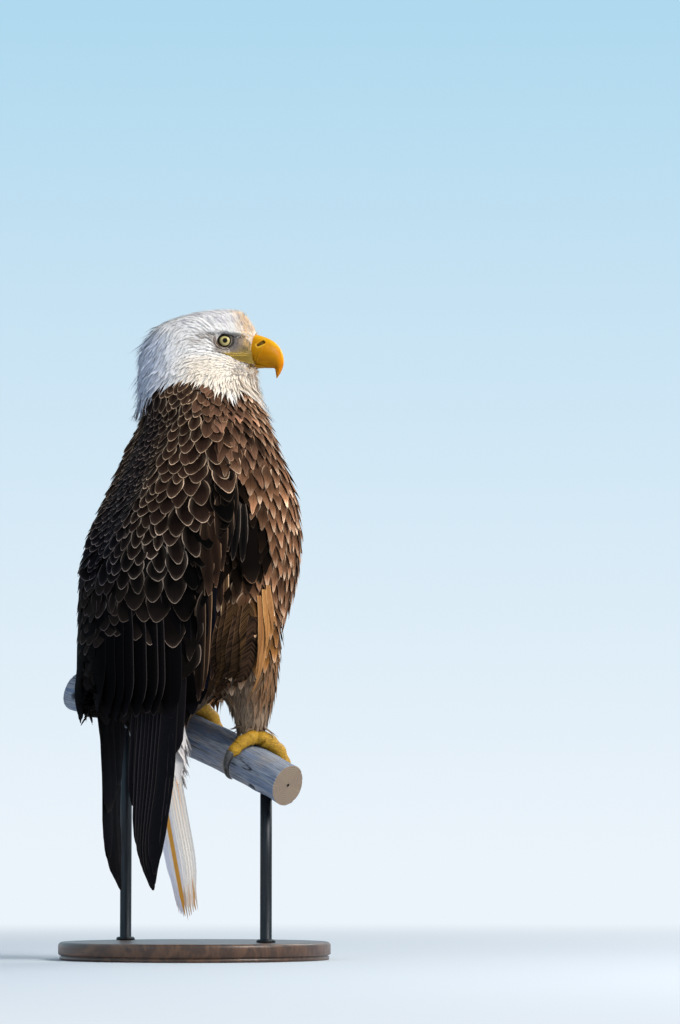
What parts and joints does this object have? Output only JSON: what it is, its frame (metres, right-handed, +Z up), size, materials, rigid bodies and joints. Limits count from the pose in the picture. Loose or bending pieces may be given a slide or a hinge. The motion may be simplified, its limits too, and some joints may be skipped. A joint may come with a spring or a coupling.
{
  "type": "perched bald eagle",
  "caption": "Life-size bald eagle sitting upright with folded wings and its head turned to its right, gripping a cut length of branch held by rods on a round base.",
  "frame": {"origin": "centre of the round base's flat underside, where it rests", "axes": "+Z up; the bird's body faces -Y, with its left side at +X; its head is turned 30 degrees to its right"},
  "size_m": [0.412, 0.34, 0.8176],
  "materials": {
    "white_feathers": "soft white feathers",
    "brown_feathers": "dark brown feathers with pale edges",
    "bill": "smooth yellow horn",
    "leg": "scaly yellow skin",
    "claw": "black horn",
    "eye": "wet, pale yellow with a black pupil",
    "branch": "weathered, barkless",
    "base": "dark satin varnish",
    "rod": "black satin"
  },
  "bodies": {
    "root": {"bill_lower": "bill", "bill_upper": "bill", "claw_hind_left": "claw", "claw_hind_right": "claw", "claw_inner_left": "claw", "claw_inner_right": "claw", "claw_middle_left": "claw", "claw_middle_right": "claw", "claw_outer_left": "claw", "claw_outer_right": "claw", "eye_left": "eye", "eye_right": "eye", "foot_left": "leg", "foot_right": "leg", "head": "white_feathers", "neck": "white_feathers", "perch": "branch", "primaries_left": "brown_feathers", "primaries_right": "brown_feathers", "shank_left": "leg", "shank_right": "leg", "stand_base": "base", "stand_rod_left": "rod", "stand_rod_right": "rod", "tail": "white_feathers", "tail_coverts": "white_feathers", "thigh_left": "brown_feathers", "thigh_right": "brown_feathers", "trunk": "brown_feathers", "wing_left": "brown_feathers", "wing_right": "brown_feathers"}
  },
  "joints": []
}
